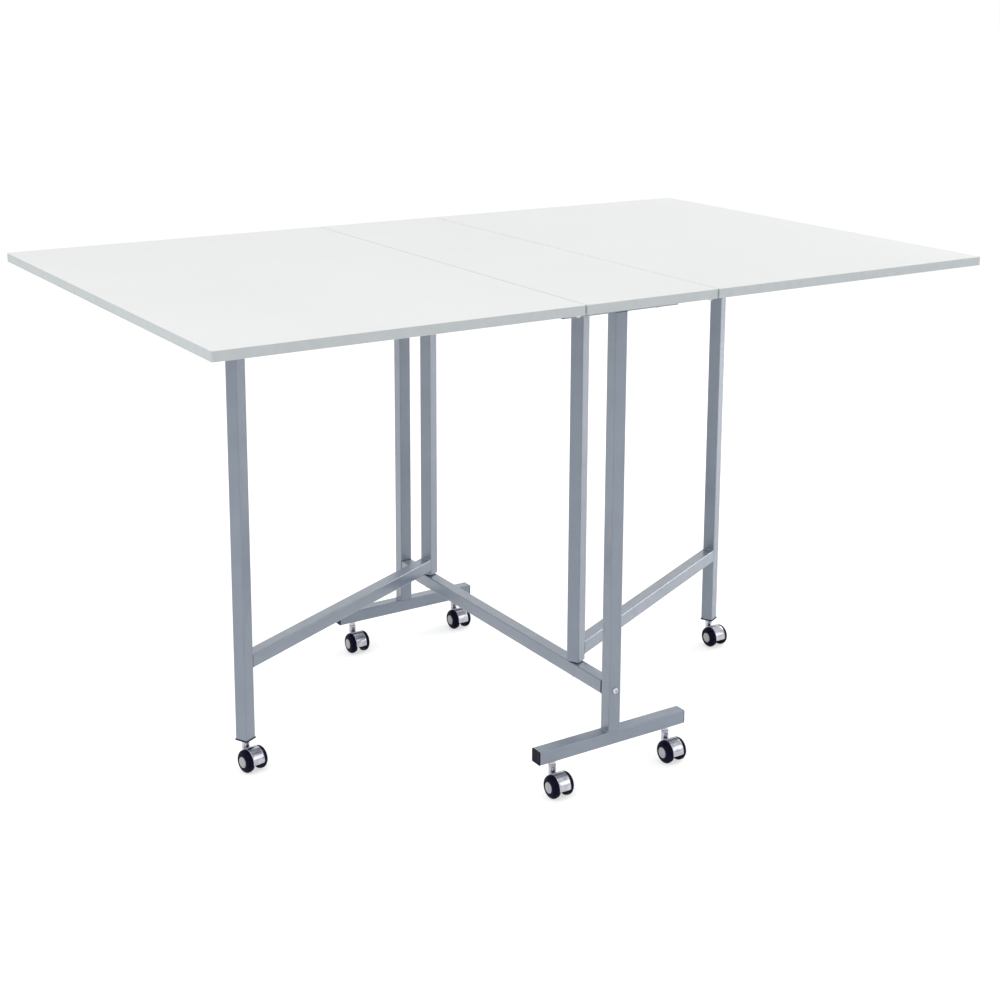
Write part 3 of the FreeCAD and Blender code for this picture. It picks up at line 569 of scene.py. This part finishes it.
stop_screw = pan_screw(SMALL_SCREW_HEAD, SMALL_SCREW_RISE, SMALL_SCREW_SHANK, STOP_SCREW_LENGTH)
for side in SIDES:
    dress([f"{side}_leg_stop"], nylon)
    pivot, outward, reach = gate_place(side)
    across = Z.cross(outward)
    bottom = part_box(f"{side}_leg_stop")[0].z
    screws = []
    for along in (-STOP_SCREW_SPACING / 2, STOP_SCREW_SPACING / 2):
        at = pivot + outward * (reach + along) - across * STOP_MIDDLE
        screws.append(driven_up(stop_screw, Vector((at.x, at.y, bottom))))
    new_piece(f"{side}_leg_stop_screws", screws, zinc, f"{side}_leaf")

# --------------------------------------------------------------------------- caster stems
# Turned and plated steel stems pressed into the foot bars and the legs' plugs. Under a foot bar a
# thicker neck keeps the caster clear of the tube.
dress(["foot_caster_stems", "left_leg_caster_stem", "right_leg_caster_stem"], zinc)

# --------------------------------------------------------------------------- caster hoods
# Zinc die castings, polished and chrome plated: a web between the two wheels, a fender over their
# drums and a boss that turns on the stem. A plain steel axle is pressed through the web.
CHROME_DARK = (0.38, 0.385, 0.43, 1)
CHROME_LIGHT = (0.54, 0.545, 0.60, 1)
CASTERS = ("front_left", "front_right", "rear_left", "rear_right", "left_leg", "right_leg")
# The casters' sizes are in millimetres, with the stem on Z. The axle lies along X and trails at -Y,
# so a fender's far end is its end at -Y and its near end is the one beside the stem.
MILLIMETRE = 0.001
AXLE_Y, AXLE_Z = -20, 20
FENDER_RADIUS = 21.2
FENDER_THICKNESS = 1.6
FENDER_HALF_WIDTH = 11.25
FENDER_CROWN = 0.25
FENDER_FAR_HEIGHT, FENDER_NEAR_HEIGHT = 17, 22
FENDER_CORNER = 1.6
FENDER_EDGE = 0.7
FENDER_INNER_EDGE = 0.2
FENDER_END_THINNING = 1.6
FENDER_STEPS, FENDER_STEPS_ACROSS, FENDER_EDGE_STEPS = 72, 8, 5
WEB_HALF_WIDTH, WEB_RADIUS, WEB_EDGE = 7, 20.4, 0.35
WEB_STEPS, WEB_BOSS_STEPS = 36, 18
AXLE_BOSS_RADIUS = 8
AXLE_RADIUS, AXLE_HALF_LENGTH, AXLE_CHAMFER = 2.5, 18.4, 0.4
AXLE_FIT = 0.02
BOSS_RADIUS, BOSS_FLOOR, BOSS_TOP = 6.5, 15, 50
BOSS_CHAMFER = 0.8
BOSS_ROUND, BOSS_ROUND_MIDDLE = 0.7, 0.2
BOSS_GROOVE_DEPTH, BOSS_GROOVE_SLOPE = 0.35, 0.3
BOSS_GROOVE_FLOOR, BOSS_GROOVE_TOP = BOSS_TOP - 3.1, BOSS_TOP - 2.5
BOSS_STEPS = 64
STEM_BORE_RADIUS, STEM_BORE_FLOOR = 4.1, 20
BORE_OVERRUN = 1
SLIVER = 0.005


def bright_chrome():
    finish, shader, where = new_finish("bright_chrome", Metallic=1.0)
    colour = blend_colours(finish, drift(finish, where, 120, 3), CHROME_DARK, CHROME_LIGHT)
    set_inputs(finish, shader, {"Base Color": colour,
                                "Roughness": drift(finish, where, 300, 3, 0.12, 0.20)})
    return finish


def at_axle(radius, angle):
    """A point's Y and Z at a radius about the axle. The angle runs up from -Y over the top."""
    return AXLE_Y - radius * math.cos(angle), AXLE_Z + radius * math.sin(angle)


def fender_angles(radius):
    """The angles of the fender's far and near end at a radius."""
    return (math.asin((FENDER_FAR_HEIGHT - AXLE_Z) / radius),
            math.pi - math.asin((FENDER_NEAR_HEIGHT - AXLE_Z) / radius))


def drawn_in(radius, to_end):
    """How far a round corner of this radius has drawn in, this near to the end."""
    return radius - math.sqrt(radius**2 - max(radius - to_end, 0) ** 2)


def fender_outline(half, thickness):
    """The fender cut across: (x, rise) points over its crowned top and back along its underside."""
    top, edge = thickness / 2, FENDER_EDGE
    crown = []
    for spot in range(FENDER_STEPS_ACROSS + 1):
        across = 2 * spot / FENDER_STEPS_ACROSS - 1
        crown.append(((half - edge) * across, top - FENDER_CROWN * across**2))
    side = []
    for turn in range(1, FENDER_EDGE_STEPS + 1):
        angle = math.pi / 2 * (1 - turn / FENDER_EDGE_STEPS)
        side.append((half - edge + edge * math.cos(angle),
                     top - FENDER_CROWN - edge + edge * math.sin(angle)))
    side.append((half - FENDER_INNER_EDGE, -top))
    return crown + side + [(-x, rise) for x, rise in reversed(side)]


def fender():
    """The crowned band over the wheels' drums, with its edges and corners rounded."""
    middle = FENDER_RADIUS - FENDER_THICKNESS / 2
    rings = []
    for step in range(FENDER_STEPS + 1):
        share = step / FENDER_STEPS
        to_end = min(share, 1 - share) * middle * math.pi
        half = FENDER_HALF_WIDTH - drawn_in(FENDER_CORNER, to_end)
        thickness = FENDER_THICKNESS - drawn_in(FENDER_EDGE, to_end) * FENDER_END_THINNING
        ring = []
        for x, rise in fender_outline(half, thickness):
            far, near = fender_angles(middle + rise)
            y, z = at_axle(middle + rise, far + (near - far) * share)
            ring.append(Vector((x, y, z)))
        rings.append(ring)
    return lofted(rings, capped=True)


def web():
    """The flat web between the wheels, from inside the fender down round the axle's boss."""
    far, near = fender_angles(WEB_RADIUS)
    edge = [at_axle(WEB_RADIUS, far + (near - far) * step / WEB_STEPS)
            for step in range(WEB_STEPS + 1)]
    edge += [at_axle(AXLE_BOSS_RADIUS, math.pi + math.pi * step / WEB_BOSS_STEPS)
             for step in range(WEB_BOSS_STEPS + 1)]
    rings = []
    for x, inset in ((-WEB_HALF_WIDTH, WEB_EDGE), (-WEB_HALF_WIDTH + WEB_EDGE, 0),
                     (WEB_HALF_WIDTH - WEB_EDGE, 0), (WEB_HALF_WIDTH, WEB_EDGE)):
        share = 1 - inset / WEB_RADIUS
        rings.append([Vector((x, AXLE_Y + (y - AXLE_Y) * share, AXLE_Z + (z - AXLE_Z) * share))
                      for y, z in edge])
    return lofted(rings, capped=True)


def stem_boss():
    """A round boss, chamfered below and rounded above, with a shallow groove under its top."""
    radius, groove = BOSS_RADIUS, BOSS_RADIUS - BOSS_GROOVE_DEPTH
    return turned([
        (0, BOSS_FLOOR), (radius - BOSS_CHAMFER, BOSS_FLOOR), (radius, BOSS_FLOOR + BOSS_CHAMFER),
        (radius, BOSS_GROOVE_FLOOR - BOSS_GROOVE_SLOPE), (groove, BOSS_GROOVE_FLOOR),
        (groove, BOSS_GROOVE_TOP), (radius, BOSS_GROOVE_TOP + BOSS_GROOVE_SLOPE),
        (radius, BOSS_TOP - BOSS_ROUND), (radius - BOSS_ROUND_MIDDLE, BOSS_TOP - BOSS_ROUND_MIDDLE),
        (radius - BOSS_ROUND, BOSS_TOP), (0, BOSS_TOP)], BOSS_STEPS)


def axle_rod(radius, half):
    """A rod along the axle's line, with chamfered ends."""
    rod = turned([(0, -half), (radius - AXLE_CHAMFER, -half), (radius, -half + AXLE_CHAMFER),
                  (radius, half - AXLE_CHAMFER), (radius - AXLE_CHAMFER, half), (0, half)])
    return placed(rod, seat(Vector((0, AXLE_Y, AXLE_Z)), X))


def casting(shapes, bores):
    """Overlapping closed shapes run together into one, with bores taken out."""
    parts = []
    for shape in shapes + bores:
        part = bpy.data.objects.new("core", new_mesh("core", [shape]))
        bpy.context.scene.collection.objects.link(part)
        parts.append(part)
    first = parts[0]
    for number, other in enumerate(parts[1:], 1):
        joined = first.modifiers.new("joined", "BOOLEAN")
        joined.object = other
        joined.solver = "EXACT"
        joined.operation = "UNION" if number < len(shapes) else "DIFFERENCE"
    finished = first.evaluated_get(bpy.context.evaluated_depsgraph_get())
    solid = bpy.data.meshes.new_from_object(finished)
    for part in parts:
        bpy.data.objects.remove(part)
    cleaner = bmesh.new()
    cleaner.from_mesh(solid)
    bmesh.ops.dissolve_degenerate(cleaner, dist=SLIVER, edges=cleaner.edges)
    cleaner.to_mesh(solid)
    cleaner.free()
    points = [vertex.co.copy() for vertex in solid.vertices]
    faces = [tuple(face.vertices) for face in solid.polygons]
    bpy.data.meshes.remove(solid)
    return points, faces


def caster_place(caster):
    """Takes a caster's own axes, in millimetres, to its place on the table."""
    stem = Vector(joints[f"{caster}_caster_swivel"]["pos_m"])
    level = Vector(joints[f"{caster}_caster_left_wheel_spin"]["axis"]).normalized()
    axes = Matrix((level, Z.cross(level), Z)).transposed().to_4x4()
    return Matrix.Translation((stem.x, stem.y, 0)) @ axes @ Matrix.Scale(MILLIMETRE, 4)


chrome = bright_chrome()
stem_bore = turned([(0, STEM_BORE_FLOOR), (STEM_BORE_RADIUS, STEM_BORE_FLOOR),
                    (STEM_BORE_RADIUS, BOSS_TOP + BORE_OVERRUN), (0, BOSS_TOP + BORE_OVERRUN)])
axle_bore = axle_rod(AXLE_RADIUS + AXLE_FIT, WEB_HALF_WIDTH + BORE_OVERRUN)
hood = casting([web(), fender(), stem_boss()], [stem_bore, axle_bore])
axle = axle_rod(AXLE_RADIUS, AXLE_HALF_LENGTH)
for caster in CASTERS:
    place = caster_place(caster)
    cast_hood = new_piece(f"{caster}_cast_hood", [placed(hood, place)], chrome,
                          f"{caster}_caster")
    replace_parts(cast_hood, f"{caster}_caster_hood")
    new_piece(f"{caster}_axle", [placed(axle, place)], zinc, f"{caster}_caster")

# --------------------------------------------------------------------------- caster wheels
# Moulded black nylon wheels with a broad round shoulder. A smaller drum runs under the fender, and
# a light grey cap is pressed into the outer face and hides the end of the axle.
TYRE_DARK = (0.003, 0.003, 0.016, 1)
TYRE_LIGHT = (0.007, 0.007, 0.024, 1)
SCUFF = (0.013, 0.013, 0.028, 1)
CAP_DARK = (0.46, 0.46, 0.475, 1)
CAP_LIGHT = (0.58, 0.58, 0.59, 1)
# Radii about the axle and distances out from the hood's middle, in millimetres.
AXLE_HOLE_RADIUS, AXLE_HOLE_END = 2.6, 18.9
INNER_FACE = 8.0
INNER_GROOVE_START, INNER_GROOVE_END, INNER_GROOVE_DEPTH = 15.4, 17.5, 0.3
DRUM_RADIUS, DRUM_CHAMFER = 19.0, 0.4
TREAD_RADIUS, TREAD_CHAMFER = 20.0, 0.25
TREAD_START, TREAD_END = 11.65, 13.4
SHOULDER_RADIUS = 8.0
SHOULDER_CENTRE_RADIUS, SHOULDER_CENTRE_OUT = 12.34, 12.91
SHOULDER_FIRST_ANGLE, SHOULDER_LAST_ANGLE = 73.4, -9.6
SHOULDER_STEPS = 14
CAP_RADIUS, CAP_BACK, CAP_FACE = 9.5, 20.0, 21.4
CAP_SEAT = 20.2
CAP_CHAMFER = 0.3
CAP_FLAT_RADIUS = 4.0
# how far in from the cap's side and how far below its middle: the lip and the groove inside it
CAP_LIP = ((0, 0.40), (0.1, 0.15), (0.4, 0.02), (1.2, 0.04), (1.4, 0.14), (1.7, 0.14), (1.9, 0.06))
# how far out from the cap's side and how far above its seat: the rim of the recess for the cap
CAP_RECESS = ((0.6, 0.55), (0.3, 0.4), (0.2, 0))
WHEEL_STEPS = 96


def tyre_nylon():
    """Black nylon, faintly scuffed all over."""
    finish, shader, where = new_finish("tyre_nylon", Specular_IOR_Level=0.04)
    colour = blend_colours(finish, drift(finish, where, 240, 3), TYRE_DARK, TYRE_LIGHT)
    marks = spread(finish, grain(finish, where, 420, 5, 0.7), 0, 0.5, 0.55, 0.8)
    set_inputs(finish, shader, {"Base Color": blend_colours(finish, marks, colour, SCUFF),
                                "Roughness": drift(finish, where, 110, 3, 0.30, 0.46)})
    raise_surface(finish, shader, grain(finish, where, 2400, 1), 0.00003, 0.6)
    return finish


def hub_grey():
    """Light grey satin plastic with the fine straight lines of the moulding."""
    finish, shader, where = new_finish("hub_grey", Specular_IOR_Level=0.5)
    stretch = add_node(finish, "Mapping", {"Vector": where, "Scale": (1.0, 1.0, 0.05)})
    lines = grain(finish, stretch.outputs["Vector"], 1500, 2)
    colour = blend_colours(finish, spread(finish, lines, 0, 1), CAP_DARK, CAP_LIGHT)
    set_inputs(finish, shader, {"Base Color": colour,
                                "Roughness": drift(finish, where, 200, 2, 0.30, 0.42)})
    raise_surface(finish, shader, lines, 0.00003, 0.5)
    return finish


def shoulder():
    """The stations of the wheel's round shoulder, from the tread to the outer face."""
    stations = []
    for step in range(SHOULDER_STEPS + 1):
        share = step / SHOULDER_STEPS
        turn = SHOULDER_FIRST_ANGLE + (SHOULDER_LAST_ANGLE - SHOULDER_FIRST_ANGLE) * share
        angle = math.radians(turn)
        stations.append((SHOULDER_CENTRE_RADIUS + SHOULDER_RADIUS * math.sin(angle),
                         SHOULDER_CENTRE_OUT + SHOULDER_RADIUS * math.cos(angle)))
    return stations


def tyre():
    """A wheel without its cap, turned about +Z, which points out from the hood's middle."""
    face, groove_floor = INNER_FACE, INNER_FACE + INNER_GROOVE_DEPTH
    inner = [(0, AXLE_HOLE_END), (AXLE_HOLE_RADIUS, AXLE_HOLE_END), (AXLE_HOLE_RADIUS, face),
             (INNER_GROOVE_START, face), (INNER_GROOVE_START + INNER_GROOVE_DEPTH, groove_floor),
             (INNER_GROOVE_END - INNER_GROOVE_DEPTH, groove_floor), (INNER_GROOVE_END, face)]
    drum = [(DRUM_RADIUS - DRUM_CHAMFER, face), (DRUM_RADIUS, face + DRUM_CHAMFER),
            (DRUM_RADIUS, TREAD_START)]
    tread = [(TREAD_RADIUS - TREAD_CHAMFER, TREAD_START),
             (TREAD_RADIUS, TREAD_START + TREAD_CHAMFER), (TREAD_RADIUS, TREAD_END)]
    recess = [(CAP_RADIUS + outward, CAP_SEAT + above) for outward, above in CAP_RECESS]
    return turned([*inner, *drum, *tread, *shoulder(), *recess, (0, CAP_SEAT)], WHEEL_STEPS)


def hub_cap():
    """A cap with a narrow lip, a fine groove inside it and a very slightly domed face."""
    lip = [(CAP_RADIUS - inward, CAP_FACE - below) for inward, below in CAP_LIP]
    return turned([(0, CAP_BACK), (CAP_RADIUS - CAP_CHAMFER, CAP_BACK),
                   (CAP_RADIUS, CAP_BACK + CAP_CHAMFER), *lip, (CAP_FLAT_RADIUS, CAP_FACE),
                   (0, CAP_FACE)], WHEEL_STEPS)


nylon_tyre, grey_cap = tyre_nylon(), hub_grey()
for caster in CASTERS:
    for side, sign in SIDES.items():
        node = f"{caster}_caster_{side}_wheel"
        out = caster_place(caster) @ seat(Vector((0, AXLE_Y, AXLE_Z)), X * sign)
        made = new_piece(f"{caster}_{side}_tyre", [placed(tyre(), out)], nylon_tyre, node)
        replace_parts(made, node)
        new_piece(f"{caster}_{side}_hub_cap", [placed(hub_cap(), out)], grey_cap, node)

# --------------------------------------------------------------------------- studio
# A pale floor that runs out of sight, an even white surround and three large soft lamps.
WHITE = (1, 1, 1, 1)
FLOOR_HALF = 30
FLOOR_COLOUR = (0.74, 0.74, 0.74, 1)
FLOOR_LIFT = 0.55
SURROUND_LEVEL = 0.62


def backdrop_rays(backdrop):
    """1 for the rays that see the backdrop itself: the camera's, and those in metal and glass."""
    rays = add_node(backdrop, "LightPath").outputs
    seen = rays["Is Camera Ray"]
    for kind in ("Is Glossy Ray", "Is Transmission Ray"):
        seen = maths(backdrop, "MAXIMUM", seen, rays[kind])
    return seen


def studio_floor():
    finish, shader, _ = new_finish("studio_floor", Roughness=0.9, Specular_IOR_Level=0.1)
    lift = maths(finish, "MULTIPLY", backdrop_rays(finish), FLOOR_LIFT)
    set_inputs(finish, shader, {"Base Color": FLOOR_COLOUR, "Emission Color": WHITE,
                                "Emission Strength": lift})
    corners = [(-FLOOR_HALF, -FLOOR_HALF, 0), (FLOOR_HALF, -FLOOR_HALF, 0),
               (FLOOR_HALF, FLOOR_HALF, 0), (-FLOOR_HALF, FLOOR_HALF, 0)]
    mesh = bpy.data.meshes.new("floor")
    mesh.from_pydata(corners, [], [(0, 1, 2, 3)])
    mesh.materials.append(finish)
    floor = bpy.data.objects.new("floor", mesh)
    bpy.context.scene.collection.objects.link(floor)
    floor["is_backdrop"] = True


def soft_lamp(name, place, target, size, power):
    lamp = bpy.data.lights.new(name, "AREA")
    lamp.shape = "RECTANGLE"
    lamp.size, lamp.size_y = size
    lamp.energy = power
    lamp_object = bpy.data.objects.new(name, lamp)
    bpy.context.scene.collection.objects.link(lamp_object)
    lamp_object.location = place
    facing = Vector(target) - Vector(place)
    lamp_object.rotation_euler = facing.to_track_quat("-Z", "Y").to_euler()


def surround():
    """Lights the object at a plain level, and shows as white where it is seen."""
    world = bpy.data.worlds.new("surround")
    bpy.context.scene.world = world
    world.use_nodes = True
    level = spread(world, backdrop_rays(world), SURROUND_LEVEL, 1, 0, 1)
    set_inputs(world, world.node_tree.nodes["Background"], {"Color": WHITE, "Strength": level})


studio_floor()
surround()
soft_lamp("key", (-3.0, -1.2, 3.4), (0, 0, 0.6), (2.5, 2.5), 45)
soft_lamp("fill", (2.4, -3.4, 2.0), (0, 0, 0.5), (2.0, 2.0), 16)
soft_lamp("side", (3.6, 0.3, 1.7), (0.3, 0, 0.5), (2.0, 2.4), 55)

# --------------------------------------------------------------------------- camera
# The camera stands to the left of the front pedestal, above the table top. Its lens is shifted
# down and sideways, as a view camera's is, so that the legs stay nearly upright.
CAMERA_PLACE = Vector((-1.60139, -2.54386, 1.36216))
CAMERA_TURN = math.radians(-34.04)
CAMERA_RISE = math.radians(11.61)
CAMERA_ROLL = math.radians(0.60)
CAMERA_FOCUS = 1.69115
CAMERA_SHIFT = (-0.05235, -0.185)
camera = bpy.data.cameras.new("camera")
camera.lens = CAMERA_FOCUS * camera.sensor_width
camera.shift_x, camera.shift_y = CAMERA_SHIFT
back = Vector((math.sin(CAMERA_TURN) * math.cos(CAMERA_RISE),
               -math.cos(CAMERA_TURN) * math.cos(CAMERA_RISE), math.sin(CAMERA_RISE)))
level = Vector((math.cos(CAMERA_TURN), math.sin(CAMERA_TURN), 0))
rise = back.cross(level)
right = level * math.cos(CAMERA_ROLL) + rise * math.sin(CAMERA_ROLL)
up = rise * math.cos(CAMERA_ROLL) - level * math.sin(CAMERA_ROLL)
camera_axes = Matrix((right, up, back)).transposed().to_4x4()
viewer = bpy.data.objects.new("camera", camera)
bpy.context.scene.collection.objects.link(viewer)
viewer.matrix_world = Matrix.Translation(CAMERA_PLACE) @ camera_axes
bpy.context.scene.camera = viewer
bpy.context.scene.view_settings.view_transform = "Standard"

low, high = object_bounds()
